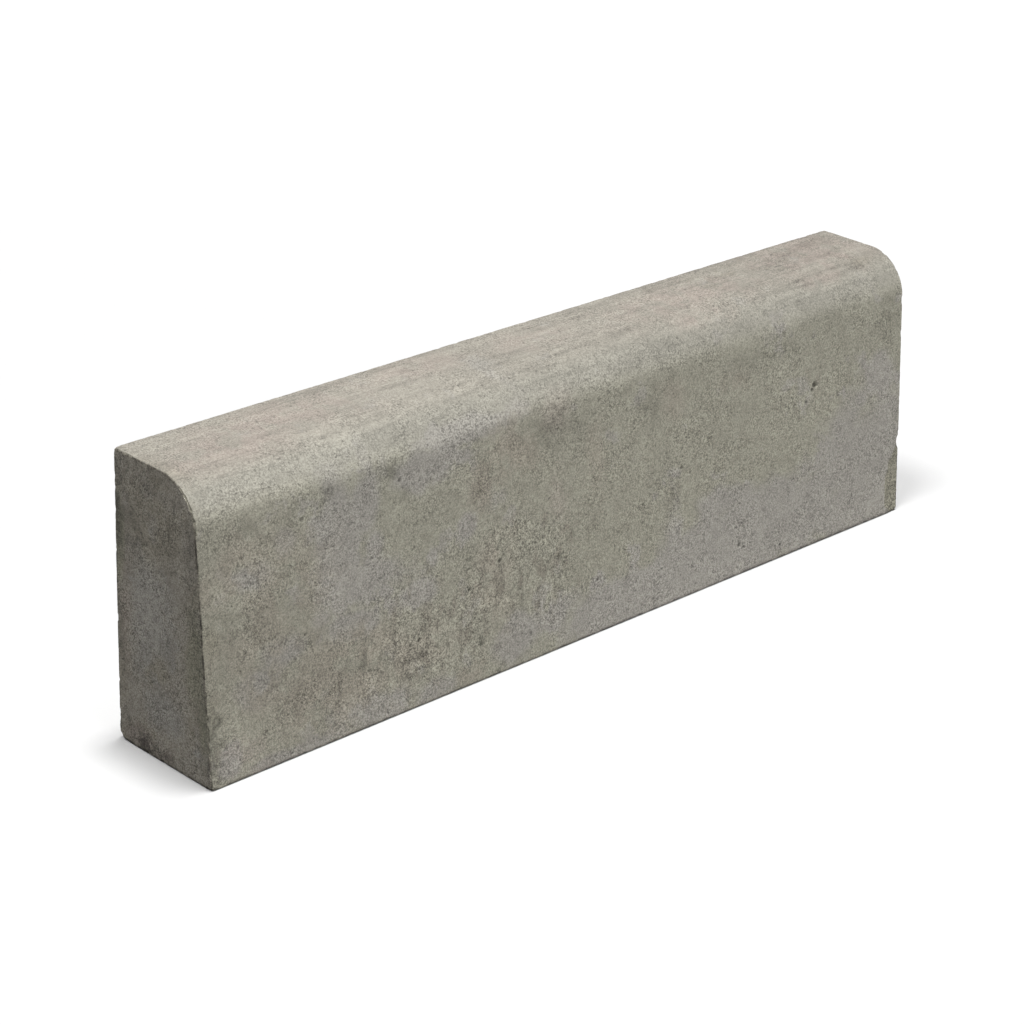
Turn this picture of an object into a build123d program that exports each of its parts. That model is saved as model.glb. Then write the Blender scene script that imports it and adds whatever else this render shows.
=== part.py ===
"""Concrete road kerb stone: one cast length with a battered face and a rounded crown.

Millimetres. The length runs along X, the road face looks towards -Y, the back is plain
and upright at +Y, and Z is up. The origin is the middle of the bedding face.
"""

import os

from build123d import *

# Overall sizes of one kerb length
length = 1000
height = 300
base_width = 140

# The road face leans back from the bedding face to the crown
crown_width = 116

# Rounding between the flat top and the road face
crown_radius = 50

# The mould rounds every sharp arris a little
arris_radius = 2.5

# Places in the section, measured from the middle of the bedding face
back = base_width / 2
face_foot = -base_width / 2
face_head = back - crown_width

with BuildPart() as kerb:
    # Cross-section, with its vertical edge at the back and its slanting edge on the road side
    with BuildSketch(Plane.YZ) as section:
        with BuildLine():
            Polyline(
                (back, 0),
                (face_foot, 0),
                (face_head, height),
                (back, height),
                close=True,
            )
        make_face()
        top_corners = section.vertices().group_by(Axis.Y)[-1]
        fillet(top_corners.sort_by(Axis.X)[0], radius=crown_radius)
    extrude(amount=length / 2, both=True)

    # Arrises: both end outlines, the two edges of the bedding face and the back edge of the top
    end_arrises = kerb.faces().filter_by(Axis.X).edges()
    long_edges = kerb.edges().filter_by(Axis.X)
    bedding_arrises = long_edges.group_by(Axis.Z)[0]
    back_arris = long_edges.group_by(Axis.Z)[-1].sort_by(Axis.Y)[-1:]
    fillet(end_arrises + bedding_arrises + back_arris, radius=arris_radius)

kerb.part.label = "kerb_stone"

os.makedirs("parts", exist_ok=True)
export_step(kerb.part, "parts/kerb_stone.step")
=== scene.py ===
"""Looks of a precast concrete kerb stone: a weathered cement skin, blowholes, chips and worn arrises.

Metres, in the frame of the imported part: the length runs along X, the road face looks towards -Y,
the plain back is upright at +Y, and the stone stands on Z = 0.
"""

import math
import random

import bmesh
import bpy
import numpy as np
from mathutils import Matrix, Vector, noise
from mathutils.kdtree import KDTree


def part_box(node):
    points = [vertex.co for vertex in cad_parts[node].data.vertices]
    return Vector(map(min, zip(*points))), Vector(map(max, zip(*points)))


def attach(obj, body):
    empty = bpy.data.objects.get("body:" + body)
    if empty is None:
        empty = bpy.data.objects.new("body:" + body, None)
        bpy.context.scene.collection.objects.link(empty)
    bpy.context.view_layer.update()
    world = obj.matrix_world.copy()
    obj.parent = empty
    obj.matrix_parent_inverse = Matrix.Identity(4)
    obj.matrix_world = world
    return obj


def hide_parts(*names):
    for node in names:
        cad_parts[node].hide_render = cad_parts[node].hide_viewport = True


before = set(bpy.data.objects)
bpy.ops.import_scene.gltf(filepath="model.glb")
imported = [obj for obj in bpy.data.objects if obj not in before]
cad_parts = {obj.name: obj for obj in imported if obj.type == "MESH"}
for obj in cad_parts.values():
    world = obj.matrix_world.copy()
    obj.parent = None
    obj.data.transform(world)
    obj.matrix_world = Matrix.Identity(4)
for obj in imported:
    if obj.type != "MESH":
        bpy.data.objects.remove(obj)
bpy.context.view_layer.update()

# Sizes of the cast stone. The box is the frame's, and the section is as it leaves the mould
low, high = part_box("kerb_stone")
length = high.x - low.x
height = high.z - low.z
back = high.y
base_width = 0.140
crown_width = 0.116
crown_radius = 0.050
arris_radius = 0.0014

# Spacing of the mesh: close at the arrises, wide in the middle of a face
fine_step = 0.00125
wide_step = 0.0045
step_growth = 1.35


def unit(vector):
    return np.asarray(vector, float) / np.linalg.norm(vector)


# Section of the stone, as points (y, z): the road face from foot to head, and the crown's arc
foot = np.array([back - base_width, 0.0])
head = np.array([back - crown_width, height])
face_up = unit(head - foot)
face_out = np.array([-face_up[1], face_up[0]])
crown_z = height - crown_radius
crown_y = foot[0] - (crown_radius + face_out[1] * crown_z) / face_out[0]
crown_centre = np.array([crown_y, crown_z])
crown_turn = math.acos(face_out[1])
face_run = (crown_centre - foot) @ face_up
half_arc = crown_radius * crown_turn / 2


def crown_point(turn):
    """Point of the crown, turned by this angle from the road face towards the top."""
    return crown_centre + crown_radius * (math.cos(turn) * face_out + math.sin(turn) * face_up)


def road_side(share):
    """Section point between the foot of the road face (0) and the middle of the crown (1)."""
    run = share * (face_run + half_arc)
    if run < face_run:
        return foot + run * face_up
    return crown_point((run - face_run) / crown_radius)


def top_side(share):
    """Section point between the middle of the crown (0) and the back edge of the top (1)."""
    run = share * (half_arc + back - crown_y)
    if run < half_arc:
        return crown_point(crown_turn / 2 + run / crown_radius)
    return np.array([crown_y + run - half_arc, height])


def road_point(x, z):
    """Point of the road face's plane at this length and height."""
    return np.array([x, foot[0] + (head[0] - foot[0]) * z / height, z])


def graded(total):
    """Lines from 0 to total, close together near both ends and evenly spaced between them."""
    steps = []
    step = fine_step
    while step < wide_step:
        steps.append(step)
        step *= step_growth
    near = np.cumsum([0.0] + steps)
    middle = total - 2 * near[-1]
    count = round(middle / wide_step)
    inner = near[-1] + middle * np.arange(1, count) / count
    return np.concatenate([near, inner, (total - near)[::-1]])


def section_grid(across, up):
    """Section points on lines across and up, blended between its four sides."""
    u = across[:, None, None]
    v = up[None, :, None]
    bottom = np.array([(foot[0] + share * base_width, 0.0) for share in across])[:, None]
    top = np.array([top_side(share) for share in across])[:, None]
    road = np.array([road_side(share) for share in up])[None]
    rear = np.array([(back, share * height) for share in up])[None]
    near_corners = (1 - v) * road[:, :1] + v * road[:, -1:]
    far_corners = (1 - v) * rear[:, :1] + v * rear[:, -1:]
    corners = (1 - u) * near_corners + u * far_corners
    return (1 - v) * bottom + v * top + (1 - u) * road + u * rear - corners


def quads(sheet, turned):
    """Quads between neighbouring entries of a sheet of vertex numbers."""
    corners = [sheet[:-1, :-1], sheet[1:, :-1], sheet[1:, 1:], sheet[:-1, 1:]]
    if turned:
        corners.reverse()
    return np.stack([corner.ravel() for corner in corners], axis=1)


def sharp_stone():
    """Closed mesh of the stone with sharp arrises, on one grid of lines over all its sides."""
    stations = low.x + graded(length)
    across = graded(base_width) / base_width
    up = graded(height) / height
    section = section_grid(across, up)
    surface = np.zeros((len(stations), len(across), len(up)), bool)
    surface[[0, -1]] = True
    surface[:, [0, -1]] = True
    surface[:, :, [0, -1]] = True
    number = np.full(surface.shape, -1)
    number[surface] = np.arange(surface.sum())
    i, j, k = np.nonzero(surface)
    points = np.column_stack([stations[i], section[j, k]])
    faces = np.concatenate([
        quads(number[:, 0], False),
        quads(number[:, -1], True),
        quads(number[:, :, 0], True),
        quads(number[:, :, -1], False),
        quads(number[0], True),
        quads(number[-1], False),
    ])
    mesh = bpy.data.meshes.new("kerb_surface")
    mesh.from_pydata(points.tolist(), [], faces.tolist())
    return mesh


def distances(points):
    """Each point's distances to the section's skin, the bedding face, the back and the ends, sorted."""
    section = points[:, 1:]
    from_centre = section - crown_centre
    turn = np.arctan2(from_centre @ face_up, from_centre @ face_out)
    on_crown = (turn > 0) & (turn < crown_turn)
    flat_skin = np.minimum(height - section[:, 1], (foot - section) @ face_out)
    skin = np.where(on_crown, crown_radius - np.linalg.norm(from_centre, axis=1), flat_skin)
    ends = length / 2 - np.abs(points[:, 0])
    return np.sort(np.column_stack([skin, section[:, 1], back - section[:, 0], ends]), axis=1)


def noise_field(points, size, octaves=3, shift=0.0):
    """Smooth random values from about -1 to 1, in patches of about this size."""
    offset = Vector((shift, shift, shift))
    return np.array([noise.fractal(Vector(p) / size + offset, 1.0, 2.0, octaves) for p in points])


def fade(distance, reach):
    """1 at no distance, falling smoothly to 0 at this reach."""
    share = np.clip(1 - distance / reach, 0, 1)
    return share * share * (3 - 2 * share)


# Chips that the photo shows: middle, direction out of the stone, reach and depth
CHIPS = [
    (road_point(0.500, 0.021), (0.01, -1.0, 0.08), 0.026, 0.0014),
    (road_point(0.500, 0.038), (0.01, -1.0, 0.08), 0.025, 0.0014),
    (road_point(0.500, 0.053), (0.02, -1.0, 0.08), 0.021, 0.0014),
    (road_point(0.500, 0.067), (0.04, -1.0, 0.08), 0.014, 0.0012),
    (road_point(0.500, 0.083), (0.70, -1.0, 0.00), 0.009, 0.0028),
    (road_point(0.500, 0.000), (1.00, -0.5, -0.90), 0.010, 0.0028),
    (road_point(-0.500, 0.019), (-1.0, -1.0, -0.10), 0.0045, 0.0013),
    (road_point(-0.500, 0.039), (-1.0, -0.8, 0.05), 0.0040, 0.0010),
    (road_point(-0.500, 0.053), (-1.0, -0.8, 0.05), 0.0050, 0.0014),
    (road_point(-0.500, 0.061), (-1.0, -1.0, 0.05), 0.0040, 0.0015),
    (road_point(-0.500, 0.073), (-1.0, -1.0, 0.05), 0.0045, 0.0015),
    (road_point(-0.500, 0.098), (-1.0, -1.0, 0.05), 0.0040, 0.0010),
    ((-0.500, -0.0310, 0.2900), (-1.0, -0.5, 0.70), 0.0040, 0.0014),
    ((-0.500, -0.0350, 0.2860), (-1.0, -0.6, 0.50), 0.0050, 0.0017),
    ((-0.500, -0.0420, 0.2765), (-1.0, -0.8, 0.30), 0.0045, 0.0016),
    ((-0.500, -0.0470, 0.2650), (-1.0, -0.9, 0.20), 0.0045, 0.0014),
    ((-0.500, 0.0700, 0.0000), (-1.0, 0.8, -0.70), 0.014, 0.0045),
    ((-0.500, 0.0700, 0.3000), (-1.0, 0.8, 0.80), 0.007, 0.0018),
]

# Blowholes that the photo shows on the road face: place, radius and depth
BLOWHOLES = [
    (road_point(0.351, 0.187), 0.0036, 0.0042),
    (road_point(0.346, 0.182), 0.0020, 0.0009),
    (road_point(0.337, 0.170), 0.0020, 0.0008),
    (road_point(0.229, 0.035), 0.0024, 0.0018),
    (road_point(0.236, 0.031), 0.0016, 0.0010),
    (road_point(0.137, 0.148), 0.0022, 0.0015),
    (road_point(0.296, 0.016), 0.0018, 0.0012),
    (road_point(-0.256, 0.240), 0.0020, 0.0014),
    (road_point(-0.128, 0.121), 0.0022, 0.0016),
    (road_point(-0.170, 0.102), 0.0020, 0.0014),
    (road_point(-0.238, 0.070), 0.0022, 0.0016),
    (road_point(0.010, 0.060), 0.0018, 0.0012),
    (road_point(-0.380, 0.120), 0.0018, 0.0012),
]


def all_chips(arris_points, normals, dice):
    """The photo's chips, and small nicks scattered over the arrises."""
    nick_count = 420
    nick_reach = (0.0012, 0.0040)
    nick_steepness = (0.09, 0.19)
    chips = [(np.array(middle), unit(out), reach, depth) for middle, out, reach, depth in CHIPS]
    for index in dice.sample(range(len(arris_points)), nick_count):
        reach = dice.uniform(*nick_reach)
        chips.append((arris_points[index], normals[index], reach, reach * dice.uniform(*nick_steepness)))
    return chips


def all_blowholes(dice):
    """The photo's blowholes, and more of the same kind scattered over the sides that it doesn't show."""
    hole_count = 30
    hole_radius = (0.0013, 0.0024)
    hole_steepness = (0.5, 0.8)
    margin = 0.02
    holes = list(BLOWHOLES)
    for _ in range(hole_count):
        x = dice.uniform(low.x + margin, high.x - margin)
        z = dice.uniform(margin, crown_z)
        y = dice.uniform(foot[0] + margin, back - margin)
        side = dice.choice(["back", "back", "back", "right"])
        middle = {
            "back": np.array([x, back, z]),
            "right": np.array([high.x, y, z]),
        }[side]
        radius = dice.uniform(*hole_radius)
        holes.append((middle, radius, radius * dice.uniform(*hole_steepness)))
    return holes


def refine(mesh, wanted):
    """Splits into four each face whose middle is wanted."""
    grid = bmesh.new()
    grid.from_mesh(mesh)
    middles = np.array([face.calc_center_median() for face in grid.faces])
    for face, chosen in zip(grid.faces, wanted(middles)):
        face.tag = bool(chosen)
    edges = [edge for edge in grid.edges if any(face.tag for face in edge.link_faces)]
    bmesh.ops.subdivide_edges(grid, edges=edges, cuts=1, use_grid_fill=True)
    grid.to_mesh(mesh)
    grid.free()


def near_any(spots):
    """A test for points that lie within reach of any of these spots, each a middle and a reach."""
    def wanted(points):
        found = np.zeros(len(points), bool)
        for middle, reach in spots:
            found |= ((points - middle) ** 2).sum(axis=1) < reach * reach
        return found
    return wanted


def closest_on_segment(points, start, end):
    along = end - start
    share = ((points - start) * along).sum(axis=1) / (along * along).sum(axis=1)
    return start + np.clip(share, 0, 1)[:, None] * along


def closest_in_core(section, radius):
    """Closest points of the section's core, which is the section shrunk by each point's own radius."""
    r = radius[:, None]
    core_foot = foot - r * face_out + r * (1 + face_out[1]) / face_up[1] * face_up
    arc_start = crown_centre + (crown_radius - r) * face_out
    arc_end = crown_centre + (crown_radius - r) * np.array([0.0, 1.0])
    top_back = np.array([back, height]) - r
    low_back = np.array([back, 0.0]) + r * np.array([-1.0, 1.0])
    from_centre = section - crown_centre
    span = np.linalg.norm(from_centre, axis=1)[:, None]
    turn = np.arctan2(from_centre @ face_up, from_centre @ face_out)
    in_wedge = (turn > 0) & (turn < crown_turn)
    on_arc = crown_centre + from_centre / span * (crown_radius - r)
    choices = np.stack([
        closest_on_segment(section, core_foot, arc_start),
        closest_on_segment(section, arc_end, top_back),
        closest_on_segment(section, top_back, low_back),
        closest_on_segment(section, low_back, core_foot),
        np.where(in_wedge[:, None], on_arc, np.inf),
    ])
    gaps = np.linalg.norm(choices - section, axis=2)
    nearest = choices[gaps.argmin(axis=0), np.arange(len(section))]
    inside = (
        ((foot - section) @ face_out >= radius)
        & (section[:, 1] >= radius)
        & (section[:, 1] <= height - radius)
        & (section[:, 0] <= back - radius)
        & ~(in_wedge & (span[:, 0] > crown_radius - radius))
    )
    return np.where(inside[:, None], section, nearest)


def round_arrises(points, radius):
    """The sharp stone's points moved onto arrises rounded by each point's radius, and their normals."""
    core = np.column_stack([
        np.clip(points[:, 0], low.x + radius, high.x - radius),
        closest_in_core(points[:, 1:], radius),
    ])
    normals = points - core
    normals /= np.linalg.norm(normals, axis=1)[:, None]
    return core + radius[:, None] * normals, normals


def knock_off(points, chips):
    """Cuts the chips off the points, and returns how broken each point is, from 0 to 1."""
    raggedness = 0.25
    fully_broken = 0.0002
    deep_chip = 0.0006
    broken = np.zeros(len(points))
    ragged = noise_field(points, 0.006, octaves=3, shift=7.0)
    for middle, out, reach, depth in chips:
        from_middle = points - middle
        above = from_middle @ out
        beside = np.linalg.norm(from_middle - above[:, None] * out, axis=1)
        limit = depth * ((beside / reach) ** 3 - 1 + raggedness * ragged)
        cut = np.where(beside < reach, np.maximum(above - limit, 0), 0)
        points -= cut[:, None] * out
        broken = np.maximum(broken, np.clip(cut / fully_broken, 0, 1) * min(1, depth / deep_chip))
    return broken


def press_holes(points, normals, holes, dice):
    """Sinks the blowholes into the points, and returns how deep in a hole each point is, 0 to 1."""
    search_share = 1.6
    stretch_share = 0.35
    roundness = 0.6
    tree = KDTree(len(points))
    for index, point in enumerate(points):
        tree.insert(point, index)
    tree.balance()
    hollow = np.zeros(len(points))
    sink = np.zeros(len(points))
    for middle, radius, depth in holes:
        stretch = unit([dice.uniform(-1, 1) for _ in range(3)])
        for point, index, _ in tree.find_range(middle, radius * search_share):
            offset = np.array(point) - middle
            span = np.linalg.norm(offset - stretch_share * (offset @ stretch) * stretch) / radius
            if span < 1:
                bowl = (1 - span * span) ** roundness
                sink[index] = max(sink[index], depth * bowl)
                hollow[index] = max(hollow[index], bowl)
    points -= sink[:, None] * normals
    return hollow


# Soft patches of the skin, listed after the photo, by kind: place, reach and strength.
# Places are (x, z) on the road face and crown, (x, y) on the top, and (y, z) on the left end
ROAD_PATCHES = {
    "rough": [
        ((-0.440, 0.140), (0.060, 0.110), 0.3),
        ((-0.380, 0.045), (0.080, 0.050), 0.6),
        ((-0.230, 0.070), (0.150, 0.080), 1.0),
        ((-0.100, 0.100), (0.110, 0.085), 1.0),
        ((0.130, 0.130), (0.160, 0.060), 0.3),
        ((0.345, 0.180), (0.050, 0.040), 0.6),
    ],
    "cool": [
        ((-0.474, 0.024), (0.020, 0.026), 1.0),
        ((-0.440, 0.083), (0.034, 0.024), 0.8),
        ((-0.435, 0.194), (0.030, 0.022), 0.8),
        ((-0.405, 0.112), (0.034, 0.026), 0.8),
        ((-0.400, 0.006), (0.090, 0.012), 0.7),
        ((-0.398, 0.218), (0.018, 0.018), 0.7),
        ((-0.360, 0.130), (0.020, 0.014), 0.7),
        ((-0.335, 0.200), (0.036, 0.110), 0.9),
        ((-0.323, 0.112), (0.050, 0.022), 0.9),
        ((-0.303, 0.228), (0.026, 0.040), 0.9),
        ((-0.300, 0.150), (0.090, 0.036), 0.6),
        ((-0.290, 0.014), (0.050, 0.022), 0.9),
        ((-0.290, 0.186), (0.018, 0.020), 0.7),
        ((-0.240, 0.118), (0.040, 0.018), 0.7),
        ((-0.222, 0.012), (0.034, 0.020), 0.8),
        ((-0.216, 0.152), (0.014, 0.014), 0.7),
        ((-0.215, 0.246), (0.060, 0.028), 0.9),
        ((-0.175, 0.266), (0.090, 0.017), 1.0),
        ((-0.170, 0.168), (0.020, 0.022), 0.9),
        ((-0.100, 0.034), (0.050, 0.034), 0.9),
        ((0.075, 0.022), (0.165, 0.048), 1.0),
        ((0.200, 0.092), (0.060, 0.022), 0.9),
        ((0.270, 0.040), (0.230, 0.070), 1.0),
        ((0.432, 0.150), (0.020, 0.020), 0.7),
        ((0.440, 0.070), (0.120, 0.110), 1.0),
        ((0.458, 0.172), (0.040, 0.034), 1.0),
    ],
    "pink": [
        ((-0.462, 0.020), (0.050, 0.030), 0.6),
        ((-0.045, 0.165), (0.016, 0.040), 0.5),
        ((-0.045, 0.255), (0.030, 0.028), 0.5),
    ],
    "brown": [
        ((-0.450, 0.212), (0.045, 0.045), 0.8),
        ((-0.420, 0.120), (0.050, 0.040), 0.7),
        ((-0.420, 0.150), (0.110, 0.140), 0.7),
        ((-0.340, 0.065), (0.150, 0.070), 1.1),
        ((-0.230, 0.060), (0.060, 0.040), 0.7),
        ((-0.165, 0.014), (0.030, 0.018), 0.9),
        ((-0.150, 0.208), (0.026, 0.055), 1.0),
        ((-0.140, 0.100), (0.050, 0.080), 0.9),
        ((-0.110, 0.230), (0.060, 0.050), 1.0),
        ((0.010, 0.190), (0.020, 0.060), 0.7),
        ((0.120, 0.225), (0.035, 0.030), 0.7),
        ((0.220, 0.225), (0.040, 0.020), 0.6),
    ],
    "stain_and_shade": [
        ((-0.444, 0.150), (0.050, 0.024), 0.6),
        ((-0.440, 0.244), (0.026, 0.014), 0.7),
        ((-0.412, 0.224), (0.014, 0.010), 0.8),
        ((-0.385, 0.240), (0.020, 0.022), 0.9),
        ((-0.380, 0.060), (0.060, 0.050), 0.45),
        ((-0.345, 0.250), (0.014, 0.013), 1.9),
        ((-0.342, 0.051), (0.006, 0.016), 0.9),
        ((-0.309, 0.072), (0.006, 0.018), 0.9),
        ((-0.282, 0.094), (0.005, 0.014), 0.8),
        ((-0.264, 0.251), (0.011, 0.012), 1.3),
        ((-0.255, 0.046), (0.006, 0.020), 1.0),
        ((-0.250, 0.224), (0.008, 0.008), 1.0),
        ((-0.227, 0.067), (0.005, 0.015), 0.7),
        ((-0.197, 0.099), (0.005, 0.014), 0.9),
        ((-0.169, 0.136), (0.010, 0.008), 1.0),
        ((-0.156, 0.042), (0.006, 0.014), 1.2),
        ((-0.150, 0.208), (0.020, 0.042), 0.75),
        ((-0.129, 0.112), (0.005, 0.014), 0.9),
        ((-0.115, 0.092), (0.005, 0.012), 0.7),
        ((-0.099, 0.070), (0.005, 0.017), 1.1),
        ((-0.056, 0.238), (0.060, 0.028), 1.0),
        ((-0.045, 0.095), (0.009, 0.014), 0.9),
        ((0.085, 0.228), (0.034, 0.030), 0.8),
        ((0.250, 0.236), (0.080, 0.022), 0.6),
        ((0.300, 0.294), (0.350, 0.018), 0.25),
        ((0.460, 0.228), (0.050, 0.034), 0.7),
    ],
    "dull_and_shade": [
        ((-0.500, 0.115), (0.020, 0.110), 1.3),
        ((-0.482, 0.130), (0.012, 0.030), 1.5),
        ((-0.478, 0.232), (0.034, 0.020), 0.9),
        ((-0.468, 0.166), (0.014, 0.022), 1.5),
        ((-0.466, 0.140), (0.024, 0.034), 1.2),
        ((-0.465, 0.212), (0.020, 0.014), 1.2),
        ((-0.430, 0.010), (0.030, 0.012), 0.9),
        ((-0.400, 0.110), (0.110, 0.140), 1.0),
        ((-0.370, 0.014), (0.040, 0.014), 1.3),
        ((-0.358, 0.200), (0.020, 0.018), 1.0),
        ((-0.335, 0.230), (0.050, 0.050), 0.4),
        ((-0.315, 0.182), (0.055, 0.034), 0.6),
        ((-0.268, 0.154), (0.060, 0.026), 0.55),
        ((-0.240, 0.140), (0.300, 0.180), 0.3),
        ((-0.205, 0.185), (0.050, 0.050), 0.5),
        ((-0.156, 0.014), (0.040, 0.022), 0.9),
        ((-0.145, 0.180), (0.018, 0.022), 1.0),
        ((-0.120, 0.200), (0.060, 0.065), 0.65),
        ((-0.105, 0.262), (0.070, 0.012), 0.8),
        ((-0.058, 0.150), (0.016, 0.050), 0.5),
        ((0.122, 0.160), (0.018, 0.024), 0.5),
        ((0.135, 0.118), (0.014, 0.024), 0.5),
        # The long band along the right of the crown is painted shade that flattens its lit turn.
        ((0.330, 0.284), (0.560, 0.030), 1.25),
    ],
    "pale_and_highlight": [
        ((-0.478, 0.020), (0.020, 0.020), 0.6),
        ((-0.475, 0.192), (0.026, 0.026), 0.5),
        ((-0.472, 0.050), (0.024, 0.036), 0.5),
        # The long band along the crown is painted highlight.
        ((-0.400, 0.285), (0.120, 0.020), 0.8),
        ((-0.345, 0.150), (0.030, 0.030), 0.5),
        ((-0.083, 0.104), (0.014, 0.016), 0.5),
        ((0.250, 0.008), (0.240, 0.018), 0.35),
        ((0.351, 0.188), (0.026, 0.024), 0.5),
        ((0.466, 0.034), (0.034, 0.034), 1.2),
    ],
}
TOP_PATCHES = {
    "rough": [
        ((0.320, 0.040), (0.320, 0.060), 0.4),
    ],
    "pink": [
        ((-0.410, 0.006), (0.080, 0.045), 1.4),
        ((-0.330, 0.030), (0.150, 0.045), 1.1),
        ((-0.150, 0.042), (0.070, 0.030), 1.0),
        ((-0.010, 0.030), (0.080, 0.035), 1.0),
        ((0.190, -0.026), (0.055, 0.016), 1.3),
        ((0.200, 0.016), (0.150, 0.040), 1.2),
        ((0.400, -0.026), (0.060, 0.012), 1.2),
        ((0.420, 0.010), (0.070, 0.040), 1.6),
        ((0.430, 0.030), (0.120, 0.060), 1.2),
    ],
    "brown": [
        ((0.450, -0.018), (0.036, 0.010), 1.0),
    ],
    "stain_and_shade": [
        ((-0.250, 0.064), (0.220, 0.009), 0.35),
        ((0.200, 0.062), (0.300, 0.012), 0.45),
        ((0.415, -0.018), (0.050, 0.005), 0.7),
        ((0.424, 0.011), (0.044, 0.006), 1.0),
        ((0.430, 0.040), (0.120, 0.026), 0.55),
        ((0.448, -0.024), (0.034, 0.006), 1.0),
    ],
    "dull_and_shade": [
        ((-0.480, 0.060), (0.030, 0.014), 0.5),
        ((-0.390, -0.002), (0.060, 0.034), 0.6),
        ((-0.372, -0.024), (0.055, 0.014), 1.2),
        ((-0.060, -0.034), (0.070, 0.016), 0.8),
        ((0.155, -0.030), (0.034, 0.010), 0.7),
        ((0.340, -0.014), (0.420, 0.026), 1.2),
        ((0.400, 0.030), (0.300, 0.060), 0.8),
        ((0.405, -0.027), (0.055, 0.013), 1.9),
        ((0.470, 0.045), (0.040, 0.030), 1.7),
        ((0.480, -0.027), (0.030, 0.014), 1.6),
        ((0.485, 0.060), (0.036, 0.014), 1.7),
    ],
    "pale_and_highlight": [
        ((0.235, 0.020), (0.060, 0.006), 0.6),
        ((0.325, 0.006), (0.060, 0.006), 0.5),
        ((0.425, -0.006), (0.070, 0.006), 0.4),
    ],
}
END_PATCHES = {
    "cool": [
        ((0.000, 0.055), (0.040, 0.030), 0.7),
        ((0.018, 0.150), (0.040, 0.090), 0.9),
    ],
    "pink": [
        ((0.004, 0.009), (0.022, 0.011), 1.6),
        ((0.040, 0.013), (0.026, 0.014), 1.6),
        ((0.057, 0.150), (0.012, 0.080), 0.8),
    ],
    "brown": [
        ((-0.048, 0.120), (0.022, 0.120), 1.4),
        ((0.010, 0.092), (0.024, 0.026), 1.1),
        ((0.010, 0.250), (0.070, 0.070), 1.2),
        ((0.030, 0.010), (0.060, 0.024), 1.5),
        ((0.062, 0.130), (0.014, 0.160), 1.0),
    ],
    "damp": [
        ((-0.058, 0.060), (0.010, 0.060), 0.9),
        ((-0.048, 0.128), (0.018, 0.070), 1.3),
        ((0.064, 0.210), (0.012, 0.065), 1.3),
    ],
    "stain_and_shade": [
        ((-0.066, 0.030), (0.003, 0.018), 2.6),
        ((-0.066, 0.034), (0.007, 0.045), 1.8),
        ((-0.063, 0.066), (0.004, 0.013), 2.9),
        ((-0.058, 0.060), (0.016, 0.090), 0.8),
        ((-0.046, 0.170), (0.018, 0.090), 0.8),
        ((-0.042, 0.238), (0.018, 0.036), 1.4),
        ((-0.012, 0.232), (0.056, 0.038), 1.0),
        ((0.000, 0.006), (0.018, 0.014), 2.0),
        ((0.020, 0.280), (0.080, 0.040), 0.8),
        ((0.032, 0.008), (0.022, 0.020), 2.3),
        ((0.048, 0.222), (0.034, 0.062), 1.3),
        ((0.058, 0.022), (0.014, 0.026), 1.3),
        ((0.066, 0.140), (0.011, 0.150), 0.9),
        ((0.066, 0.235), (0.013, 0.085), 2.1),
    ],
    "dull_and_shade": [
        ((-0.012, 0.122), (0.014, 0.034), 1.2),
        ((-0.010, 0.200), (0.018, 0.018), 0.8),
        ((0.015, 0.088), (0.045, 0.034), 0.9),
    ],
    "pale_and_highlight": [
        ((0.022, 0.150), (0.040, 0.090), 1.2),
    ],
}


def listed(side_patches):
    """The patches of one side, one by one: kind, place, reach and strength."""
    for name, spots in side_patches.items():
        for place, reach, strength in spots:
            yield name, place, reach, strength


def all_patches():
    """Every patch of the skin as its kind, middle, reach along X, Y and Z, and strength."""
    deep = 0.03
    for name, (x, z), (reach_x, reach_z), strength in listed(ROAD_PATCHES):
        yield name, road_point(x, z), np.array([reach_x, deep, reach_z]), strength
    for name, (x, y), (reach_x, reach_y), strength in listed(TOP_PATCHES):
        yield name, np.array([x, y, height]), np.array([reach_x, reach_y, deep]), strength
    for name, (y, z), (reach_y, reach_z), strength in listed(END_PATCHES):
        yield name, np.array([low.x, y, z]), np.array([deep, reach_y, reach_z]), strength


def patch_fields(points, ragged):
    """Strength of each kind of patch at each point, fading out at ragged borders."""
    raggedness = 0.30
    border = 1.25
    names = ["rough", "cool", "brown", "damp", "pink", "stain_and_shade", "dull_and_shade", "pale_and_highlight"]
    fields = {name: np.zeros(len(points)) for name in names}
    for name, middle, reach, strength in all_patches():
        span = np.linalg.norm((points - middle) / reach, axis=1)
        fields[name] = np.maximum(fields[name], strength * fade(span + raggedness * ragged, border))
    return fields


def add_crown_highlight_and_shade(fields, points, normals, ragged):
    """Painted highlight on the crown's turn, most to the left, and a band of painted shade and dirt under
    it.
    """
    crown_line = 0.2630
    unevenness = 0.0030
    highlight_start = 0.003
    highlight_edge = 0.007
    highlight_height = 0.020
    band_start = 0.004
    band_edge = 0.008
    band_height = 0.045
    full_highlight_x = -0.250
    highlight_run = 0.550
    rise = points[:, 2] - crown_line + unevenness * ragged
    facing_road = np.clip(-1.4 * normals[:, 1], 0, 1)
    painted_highlight = fade(highlight_start - rise, highlight_edge) * fade(rise, highlight_height)
    shade_and_dirt_band = fade(rise + band_start, band_edge) * fade(-rise, band_height)
    left_share = fade(points[:, 0] - full_highlight_x, highlight_run)
    # A lighter band on the turn of the crown: painted highlight.
    fields["pale_and_highlight"] = np.maximum(fields["pale_and_highlight"], (0.4 + 1.1 * left_share) * facing_road * painted_highlight)
    # A darker band just under the crown: painted shade, with some dirt.
    fields["stain_and_shade"] = np.maximum(fields["stain_and_shade"], 0.25 * facing_road * shade_and_dirt_band)


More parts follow.
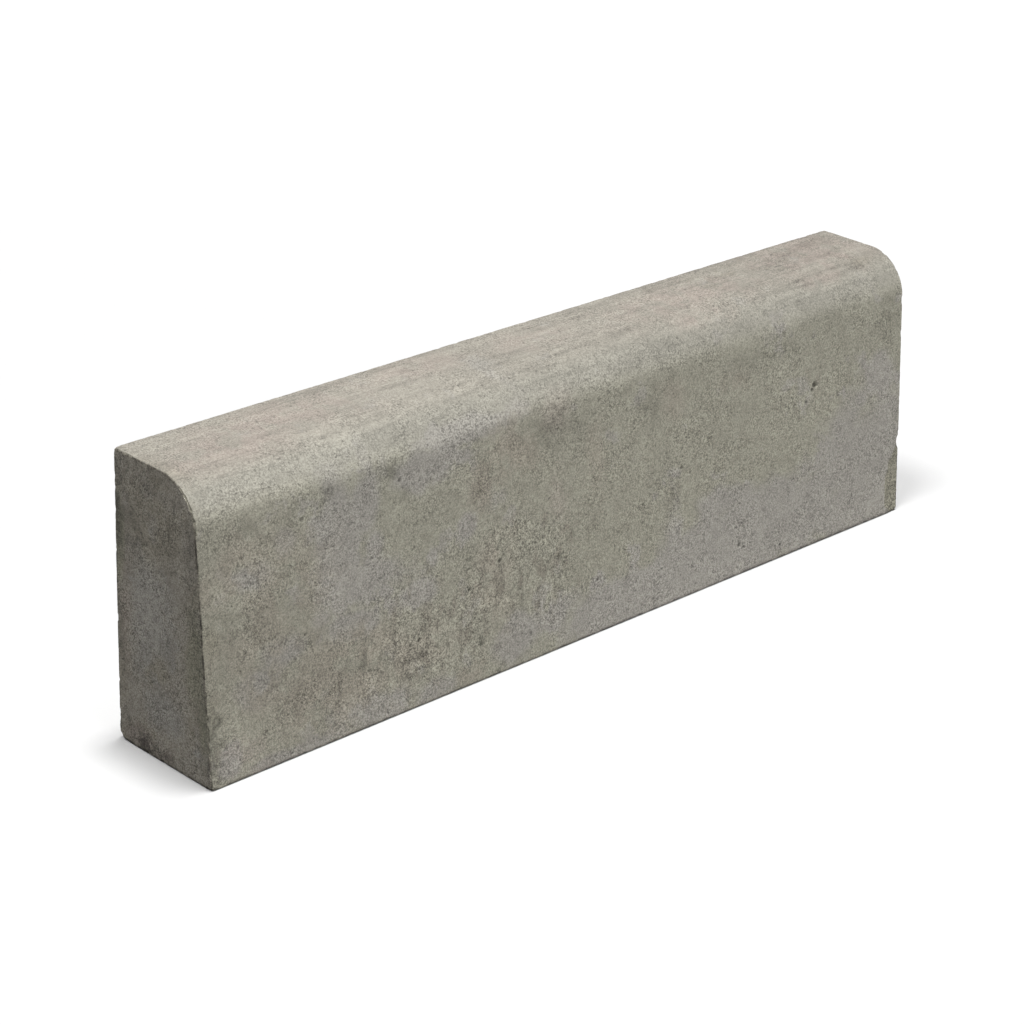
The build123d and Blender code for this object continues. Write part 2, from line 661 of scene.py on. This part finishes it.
# Weathering of the sides that the photo doesn't show: kind, size, highest strength and noise shift
GUESSED_WEATHER = [
    ("rough", 0.110, 0.6, 29.0),
    ("cool", 0.140, 0.5, 31.0),
    ("stain_and_shade", 0.090, 0.5, 37.0),
]


def add_guessed_weather(fields, points, normals):
    """The back and the right end, which the photo doesn't show, weather like the road face."""
    contrast = 2.2
    unseen = np.clip(normals[:, 0] + normals[:, 1], 0, 1)
    for name, size, most, shift in GUESSED_WEATHER:
        weather = np.clip(contrast * noise_field(points, size, octaves=3, shift=shift), 0, most)
        fields[name] = np.maximum(fields[name], unseen * weather)


def add_foot_shade_and_rim_dirt(fields, points, from_arris, ragged):
    """Painted shade along the foot, higher towards the right, and dirt on the rim of both ends."""
    foot_height = 0.0042
    foot_rise = 0.0030
    rim_width = 0.0050
    darkest = 2.9
    on_end = np.clip(3 * fields["facing_end"] - 1.4, 0, 1)
    # A thin band of painted shade along the foot, where the stone meets the floor.
    painted_foot_shade = 2.5 * fade(points[:, 2], foot_height + foot_rise * np.clip(points[:, 0], 0, 1))
    crumbly = noise_field(points, 0.007, octaves=3, shift=23.0)
    rim_dirt = (2.2 + 1.4 * ragged + 1.2 * crumbly) * on_end * fade(from_arris, rim_width)
    fields["stain_and_shade"] = np.minimum(np.maximum(fields["stain_and_shade"], rim_dirt) + painted_foot_shade, darkest)
    fields["brown"] = np.maximum(fields["brown"], 0.8 * rim_dirt)


def skin_fields(points, normals, from_arris):
    """All that the material reads at each point: the patches, and how far it faces up or endways."""
    ragged = noise_field(points, 0.035, octaves=4, shift=3.0)
    fields = patch_fields(points, ragged)
    fields["facing_up"] = np.clip(normals[:, 2], 0, 1)
    fields["facing_end"] = np.abs(normals[:, 0])
    add_crown_highlight_and_shade(fields, points, normals, ragged)
    add_guessed_weather(fields, points, normals)
    add_foot_shade_and_rim_dirt(fields, points, from_arris, ragged)
    return fields


def skin_depth(points, rough, broken):
    """How far the skin lies under the smooth stone: waves, ripples, pits, and torn stone in chips."""
    wave_depth = 0.00030
    ripple_depth = 0.00014
    pit_depth = 0.00100
    tear_depth = 0.00090
    waves = wave_depth * (1 + noise_field(points, 0.110, octaves=2, shift=11.0)) / 2
    ripples = ripple_depth * (1 + noise_field(points, 0.022, octaves=2, shift=13.0)) / 2
    pitted = pit_depth * rough * np.clip(noise_field(points, 0.011, octaves=2, shift=17.0), 0, 1)
    torn = tear_depth * broken * (1 + noise_field(points, 0.005, octaves=3, shift=19.0)) / 2
    return waves + ripples + pitted + torn


def worn_radius(points, nearest):
    """Radius of the arris at each point: larger at the corners and in worn places."""
    most_at_corner = 0.0012
    corner_reach = 0.010
    most_in_patch = 0.0009
    patch_size = 0.010
    corner_wear = most_at_corner * fade(nearest[:, 2], corner_reach)
    patchy_wear = most_in_patch * np.clip(noise_field(points, patch_size, octaves=4) - 0.1, 0, 1)
    return arris_radius + corner_wear + patchy_wear


def refined_stone(holes):
    """The sharp stone's mesh, finer at the arrises, chips, blowholes and small patches."""
    arris_band = 0.0055
    chip_share = 1.1
    hole_surround = 0.0035
    hole_rim = 0.0015
    small_patch = 0.011
    patch_share = 1.2
    mesh = sharp_stone()
    refine(mesh, lambda points: distances(points)[:, 1] < arris_band)
    spots = [(np.array(middle), chip_share * reach) for middle, _, reach, _ in CHIPS]
    spots += [(middle, radius + hole_surround) for middle, radius, _ in holes]
    for _, middle, reach, _ in all_patches():
        if reach.min() < small_patch:
            spots.append((middle, patch_share * np.sort(reach)[1]))
    refine(mesh, near_any(spots))
    refine(mesh, near_any([(middle, radius + hole_rim) for middle, radius, _ in holes]))
    return mesh


def weathered_stone():
    """The visible stone: the sharp mesh refined, rounded, chipped and given its relief."""
    on_edge = 0.0002
    dice = random.Random(41)
    holes = all_blowholes(dice)
    mesh = refined_stone(holes)
    points = np.empty(len(mesh.vertices) * 3)
    mesh.vertices.foreach_get("co", points)
    points = points.reshape(-1, 3)
    nearest = distances(points)
    points, normals = round_arrises(points, worn_radius(points, nearest))

    on_arris = np.nonzero(nearest[:, 1] < on_edge)[0]
    broken = knock_off(points, all_chips(points[on_arris], normals[on_arris], dice))
    fields = skin_fields(points, normals, nearest[:, 1])
    points -= skin_depth(points, fields["rough"], broken)[:, None] * normals
    fields["hollow"] = press_holes(points, normals, holes, dice)
    fields["broken"] = broken

    mesh.vertices.foreach_set("co", points.ravel())
    mesh.polygons.foreach_set("use_smooth", [True] * len(mesh.polygons))
    for name, values in fields.items():
        attribute = mesh.attributes.new(name, "FLOAT", "POINT")
        attribute.data.foreach_set("value", values.astype(np.float32))
    mesh.update()
    stone = bpy.data.objects.new("kerb_surface", mesh)
    bpy.context.scene.collection.objects.link(stone)
    return stone


def add_node(tree, kind, inputs=None, **settings):
    """A new shader node with its settings, whose inputs are values or other nodes' sockets."""
    node = tree.nodes.new("ShaderNode" + kind)
    for name, value in settings.items():
        setattr(node, name, value)
    for name, value in (inputs or {}).items():
        if isinstance(value, bpy.types.NodeSocket):
            tree.links.new(value, node.inputs[name])
        else:
            node.inputs[name].default_value = value
    return node


def calculate(tree, operation, first, second=0.0):
    return add_node(tree, "Math", {0: first, 1: second}, operation=operation).outputs[0]


def remap(tree, value, start, end, to_start=0.0, to_end=1.0):
    """The value moved smoothly from one range to another, and kept within it."""
    inputs = {"Value": value, "From Min": start, "From Max": end, "To Min": to_start, "To Max": to_end}
    return add_node(tree, "MapRange", inputs, interpolation_type="SMOOTHSTEP").outputs[0]


def mix_colours(tree, amount, first, second, blend="MIX"):
    node = add_node(tree, "Mix", {0: amount, 6: first, 7: second}, data_type="RGBA", blend_type=blend)
    return node.outputs[2]


def field(tree, name):
    return add_node(tree, "Attribute", attribute_name=name).outputs["Fac"]


def cloud(tree, place, scale, detail=3.0, roughness=0.55):
    """Cloudy noise, around 0.5."""
    inputs = {"Vector": place, "Scale": scale, "Detail": detail, "Roughness": roughness}
    return add_node(tree, "TexNoise", inputs).outputs["Fac"]


def stretched(tree, place, scale):
    """The place stretched, so that a texture on it is drawn out where the scale is small."""
    return add_node(tree, "VectorMath", {0: place, 1: scale}, operation="MULTIPLY").outputs[0]


def specks(tree, place, scale, size, share):
    """Round specks, 1 inside. The size is a share of their spacing, and a share of them shows."""
    cells = add_node(tree, "TexVoronoi", {"Vector": place, "Scale": scale})
    chance = add_node(tree, "SeparateColor", {0: cells.outputs["Color"]}).outputs[0]
    shown = calculate(tree, "LESS_THAN", chance, share)
    dot = remap(tree, cells.outputs["Distance"], size, 0.5 * size)
    return calculate(tree, "MULTIPLY", dot, shown)


# Colours of the dry cement skin, as they render under plain light
OLIVE_SKIN = (0.336, 0.324, 0.263, 1)
CROWN_SKIN = (0.331, 0.317, 0.271, 1)
TOP_SKIN = (0.341, 0.319, 0.273, 1)
END_SKIN = (0.354, 0.325, 0.281, 1)
COOL_SKIN = (0.343, 0.326, 0.291, 1)
BROWN_SKIN = (0.342, 0.315, 0.258, 1)
PINK_SKIN = (0.363, 0.321, 0.279, 1)
DAMP_SKIN = (0.332, 0.317, 0.248, 1)
BROKEN_STONE = (0.280, 0.267, 0.212, 1)


def strokes(tree, place):
    """Upright dark strokes where the skin is rough, 1 on a stroke: long ones, and shorter ones between."""
    long_cloud = cloud(tree, stretched(tree, place, (1.0, 1.0, 0.42)), 62.0, 4.0, 0.6)
    short_cloud = cloud(tree, stretched(tree, place, (1.0, 1.0, 0.50)), 150.0, 3.0, 0.6)
    long_strokes = remap(tree, long_cloud, 0.51, 0.59, -0.3, 1.0)
    short_strokes = remap(tree, short_cloud, 0.52, 0.60, -0.2, 0.9)
    both = calculate(tree, "ADD", long_strokes, calculate(tree, "MULTIPLY", short_strokes, 0.7))
    return calculate(tree, "MULTIPLY", both, field(tree, "rough"))


def skin_colour(tree, place, dark_strokes):
    """The skin's tint: olive, with cool, brown, pink and damp patches, and olive-grey where broken."""
    facing_up = field(tree, "facing_up")
    colour = mix_colours(tree, remap(tree, facing_up, 0.1, 0.6), OLIVE_SKIN, CROWN_SKIN)
    colour = mix_colours(tree, remap(tree, facing_up, 0.7, 1.0), colour, TOP_SKIN)
    on_end = remap(tree, field(tree, "facing_end"), 0.5, 1.0, 0.0, 0.8)
    colour = mix_colours(tree, on_end, colour, END_SKIN)
    drift = cloud(tree, place, 7.0, 5.0)
    cool = calculate(tree, "ADD", field(tree, "cool"), remap(tree, drift, 0.56, 0.68, 0.0, 0.5))
    fleck = cloud(tree, place, 26.0, 5.0, 0.6)
    cool = calculate(tree, "ADD", cool, remap(tree, fleck, 0.55, 0.66, 0.0, 0.4))
    colour = mix_colours(tree, remap(tree, cool, 0.1, 0.6), colour, COOL_SKIN)
    blotch = cloud(tree, place, 34.0, 4.0)
    brown = calculate(tree, "MULTIPLY", remap(tree, blotch, 0.36, 0.54, 0.2, 1.0), field(tree, "brown"))
    brown = calculate(tree, "MAXIMUM", brown, calculate(tree, "MULTIPLY", dark_strokes, 0.8))
    colour = mix_colours(tree, remap(tree, brown, 0.0, 1.0), colour, BROWN_SKIN)
    pink = remap(tree, blotch, 0.40, 0.56, 0.15, 1.0)
    colour = mix_colours(tree, calculate(tree, "MULTIPLY", pink, field(tree, "pink")), colour, PINK_SKIN)
    colour = mix_colours(tree, remap(tree, field(tree, "damp"), 0.1, 0.9), colour, DAMP_SKIN)
    return mix_colours(tree, field(tree, "broken"), colour, BROKEN_STONE)


def product(tree, factors):
    """All the factors multiplied together."""
    total = factors[0]
    for factor in factors[1:]:
        total = calculate(tree, "MULTIPLY", total, factor)
    return total


def darkened(tree, amount, mask):
    """Factor that takes off this amount of light where the mask is 1."""
    return calculate(tree, "SUBTRACT", 1.0, calculate(tree, "MULTIPLY", mask, amount))


def patchiness(tree, place, dark_strokes):
    """How light or dark the skin is over its patches: mottling, streaks, strokes, stains, painted shade and
    highlight.
    """
    facing_up = field(tree, "facing_up")
    rough = field(tree, "rough")
    lengthwise = cloud(tree, stretched(tree, place, (0.09, 1.0, 1.0)), 80.0, 5.0, 0.62)
    streak = remap(tree, lengthwise, 0.34, 0.66, -0.08, 0.08)
    streak = calculate(tree, "MULTIPLY", streak, remap(tree, facing_up, 0.3, 0.9))
    drawn = cloud(tree, stretched(tree, place, (0.06, 1.0, 1.0)), 55.0, 2.0, 0.5)
    middle_gap = calculate(tree, "ABSOLUTE", calculate(tree, "SUBTRACT", drawn, 0.5))
    wash_lines = product(tree, [
        remap(tree, middle_gap, 0.035, 0.004),
        remap(tree, cloud(tree, place, 16.0, 2.0), 0.42, 0.56),
        remap(tree, facing_up, 0.35, 0.7),
    ])
    blots = remap(tree, cloud(tree, place, 130.0, 3.0, 0.6), 0.50, 0.60, -0.2, 1.0)
    endways = calculate(tree, "MULTIPLY", field(tree, "facing_end"), 0.9)
    spotty = calculate(tree, "MAXIMUM", calculate(tree, "MULTIPLY", rough, 0.5), endways)
    blotchiness = remap(tree, cloud(tree, place, 75.0, 4.0, 0.65), 0.38, 0.56, 0.3, 1.0)
    return product(tree, [
        remap(tree, cloud(tree, place, 13.0, 4.0), 0.32, 0.68, 0.965, 1.035),
        remap(tree, cloud(tree, place, 70.0, 4.0), 0.32, 0.68, 0.945, 1.055),
        calculate(tree, "ADD", 1.0, streak),
        darkened(tree, 0.14, wash_lines),
        darkened(tree, 0.20, dark_strokes),
        darkened(tree, 0.17, product(tree, [blots, spotty])),
        # Stains include painted shade under the crown and along the foot.
        darkened(tree, 0.30, product(tree, [blotchiness, field(tree, "stain_and_shade")])),
        # Dull patches include a band of painted shade on the crown.
        darkened(tree, 0.13, field(tree, "dull_and_shade")),
        # Pale patches include painted highlight on the turn of the crown.
        calculate(tree, "ADD", 1.0, calculate(tree, "MULTIPLY", field(tree, "pale_and_highlight"), 0.10)),
    ])


def busyness(tree, place):
    """How lively the grain is: less in some patches of the skin and on the top, more where it is rough."""
    patches = remap(tree, cloud(tree, place, 28.0, 4.0, 0.6), 0.36, 0.64, 0.60, 1.25)
    open_skin = calculate(tree, "MAXIMUM", field(tree, "rough"), field(tree, "broken"))
    lively = calculate(tree, "ADD", patches, calculate(tree, "MULTIPLY", open_skin, 0.45))
    worn_smooth = remap(tree, field(tree, "facing_up"), 0.1, 0.6, 1.0, 0.84)
    coarse_end = remap(tree, field(tree, "facing_end"), 0.5, 1.0, 1.0, 1.15)
    return product(tree, [lively, worn_smooth, coarse_end])


def pore_depth(tree, place, busy):
    """Open pores, 1 inside, more of them where the skin is lively, rough or broken."""
    open_skin = calculate(tree, "MAXIMUM", field(tree, "rough"), field(tree, "broken"))
    small_specks = specks(tree, place, 290.0, 0.40, calculate(tree, "MULTIPLY", busy, 0.20))
    small = calculate(tree, "MULTIPLY", small_specks, 0.7)
    middle = specks(tree, place, 170.0, 0.27, calculate(tree, "MULTIPLY", busy, 0.10))
    large = specks(tree, place, 80.0, 0.19, calculate(tree, "MULTIPLY", open_skin, 0.25))
    return calculate(tree, "MAXIMUM", small, calculate(tree, "MAXIMUM", middle, large))


def hairlines(tree, place):
    """Short curled lines in the cement skin, 1 on a line."""
    off_middle = calculate(tree, "SUBTRACT", cloud(tree, place, 150.0, 3.0, 0.6), 0.5)
    line = remap(tree, calculate(tree, "ABSOLUTE", off_middle), 0.045, 0.010)
    broken_up = remap(tree, cloud(tree, place, 190.0, 2.0), 0.44, 0.56)
    return calculate(tree, "MULTIPLY", line, broken_up)


def concrete():
    """Material of the stone: matt cement skin with sand grain, pores, mottling and stains."""
    material = bpy.data.materials.new("weathered_concrete")
    material.use_nodes = True
    tree = material.node_tree
    tree.nodes.clear()
    place = add_node(tree, "TexCoord").outputs["Object"]
    busy = busyness(tree, place)
    dark_strokes = strokes(tree, place)
    grains = add_node(tree, "TexVoronoi", {"Vector": place, "Scale": 520.0})
    sand = cloud(tree, place, 560.0, 2.0, 0.75)
    sand_tone = calculate(tree, "MULTIPLY", remap(tree, sand, 0.34, 0.66, -0.29, 0.29), busy)
    pores = pore_depth(tree, place, busy)
    lines = calculate(tree, "MULTIPLY", hairlines(tree, place), busy)
    shade = product(tree, [
        patchiness(tree, place, dark_strokes),
        calculate(tree, "ADD", 1.0, sand_tone),
        # Pores, fine lines and blowholes are darkened: painted shade inside these hollows.
        darkened(tree, 0.34, pores),
        darkened(tree, 0.33, lines),
        darkened(tree, 0.68, field(tree, "hollow")),
    ])
    shade_colour = add_node(tree, "CombineColor", {0: shade, 1: shade, 2: shade}).outputs[0]
    colour = mix_colours(tree, 1.0, skin_colour(tree, place, dark_strokes), shade_colour, "MULTIPLY")

    lumps = remap(tree, grains.outputs["Distance"], 0.0, 0.7, 0.35, 0.0)
    cavities = calculate(tree, "ADD", pores, calculate(tree, "MULTIPLY", lines, 0.5))
    relief = calculate(tree, "SUBTRACT", calculate(tree, "ADD", lumps, sand), cavities)
    bump = add_node(tree, "Bump", {"Height": relief, "Strength": 0.55, "Distance": 0.0009})
    roughness = remap(tree, cloud(tree, place, 60.0, 3.0), 0.3, 0.7, 0.80, 0.95)
    shader = add_node(tree, "BsdfPrincipled", {
        "Base Color": colour,
        "Roughness": roughness,
        "Normal": bump.outputs["Normal"],
        "Specular IOR Level": 0.30,
    })
    output = add_node(tree, "OutputMaterial")
    tree.links.new(shader.outputs[0], output.inputs["Surface"])
    return material


def studio_floor():
    """Ground that is white to the camera, and darker to the light that it throws back."""
    floor_white = 0.748
    floor_bounce = 0.25
    floor_half = 40.0
    floor_z = -0.0001
    mesh = bpy.data.meshes.new("floor")
    signs = [(-1, -1), (1, -1), (1, 1), (-1, 1)]
    corners = [(floor_half * x, floor_half * y, floor_z) for x, y in signs]
    mesh.from_pydata(corners, [], [(0, 1, 2, 3)])
    floor = bpy.data.objects.new("floor", mesh)
    bpy.context.scene.collection.objects.link(floor)
    material = bpy.data.materials.new("studio_floor")
    material.use_nodes = True
    tree = material.node_tree
    tree.nodes.clear()
    seen = add_node(tree, "LightPath").outputs["Is Camera Ray"]
    tone = remap(tree, seen, 0.0, 1.0, floor_bounce, floor_white)
    colour = add_node(tree, "CombineColor", {0: tone, 1: tone, 2: tone}).outputs[0]
    shader = add_node(tree, "BsdfDiffuse", {"Color": colour})
    output = add_node(tree, "OutputMaterial")
    tree.links.new(shader.outputs[0], output.inputs["Surface"])
    mesh.materials.append(material)


def studio_world():
    """Surroundings that are white to the camera and in glossy or clear things, and dim as a light."""
    sky_light = 0.08
    world = bpy.data.worlds.new("studio")
    bpy.context.scene.world = world
    world.use_nodes = True
    tree = world.node_tree
    tree.nodes.clear()
    path = add_node(tree, "LightPath")
    clear = calculate(tree, "MAXIMUM", path.outputs["Is Camera Ray"], path.outputs["Is Transmission Ray"])
    clear = calculate(tree, "MAXIMUM", clear, path.outputs["Is Glossy Ray"])
    strength = remap(tree, clear, 0.0, 1.0, sky_light, 1.0)
    sky = add_node(tree, "Background", {"Color": (1, 1, 1, 1), "Strength": strength})
    output = add_node(tree, "OutputWorld")
    tree.links.new(sky.outputs[0], output.inputs["Surface"])


def softbox(name, lean_right, lean_front, width, strength):
    """A broad, even lamp, leaning from overhead to the right and to the front. Angles in degrees."""
    lamp = bpy.data.lights.new(name, "SUN")
    lamp.energy = strength
    lamp.angle = math.radians(width)
    towards = Vector((math.tan(math.radians(lean_right)), -math.tan(math.radians(lean_front)), 1.0))
    lamp_object = bpy.data.objects.new(name, lamp)
    lamp_object.rotation_euler = towards.to_track_quat("Z", "Y").to_euler()
    bpy.context.scene.collection.objects.link(lamp_object)


# The lamps: name, lean to the right and to the front, width, and strength
LAMPS = [
    ("overhead_right", 5.6, 0, 10.5, 2.02),
    ("overhead_left", -21.5, 0, 14, 1.30),
    ("overhead_wide", 0, 5, 27, 0.64),
    ("front_fill", 2, 84, 14, 1.625),
    ("back_fill", -2, -84, 14, 1.05),
]


def camera():
    """The photo's view: from the left front, a little above, with a slight roll."""
    azimuth = math.radians(-45.02)
    elevation = math.radians(24.09)
    roll = math.radians(2.21)
    target = Vector((-0.0361, 0.0173, 0.1203))
    distance = 2.9465
    right = Vector((math.cos(azimuth), math.sin(azimuth), 0))
    level = Vector((math.sin(azimuth), -math.cos(azimuth), 0))
    away = math.cos(elevation) * level + math.sin(elevation) * Vector((0, 0, 1))
    up = away.cross(right)
    rolled_right = math.cos(roll) * right + math.sin(roll) * up
    rolled_up = math.cos(roll) * up - math.sin(roll) * right
    lens = bpy.data.cameras.new("camera")
    lens.lens = 100.75
    lens.sensor_width = 36.0
    lens.clip_end = 200.0
    view = bpy.data.objects.new("camera", lens)
    turned = Matrix((rolled_right, rolled_up, away)).transposed().to_4x4()
    view.matrix_world = Matrix.Translation(target + distance * away) @ turned
    bpy.context.scene.collection.objects.link(view)
    bpy.context.scene.camera = view


stone = weathered_stone()
stone.data.materials.append(concrete())
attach(stone, "root")
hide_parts("kerb_stone")

studio_floor()
studio_world()
for lamp in LAMPS:
    softbox(*lamp)
camera()
bpy.context.scene.view_settings.view_transform = "Standard"
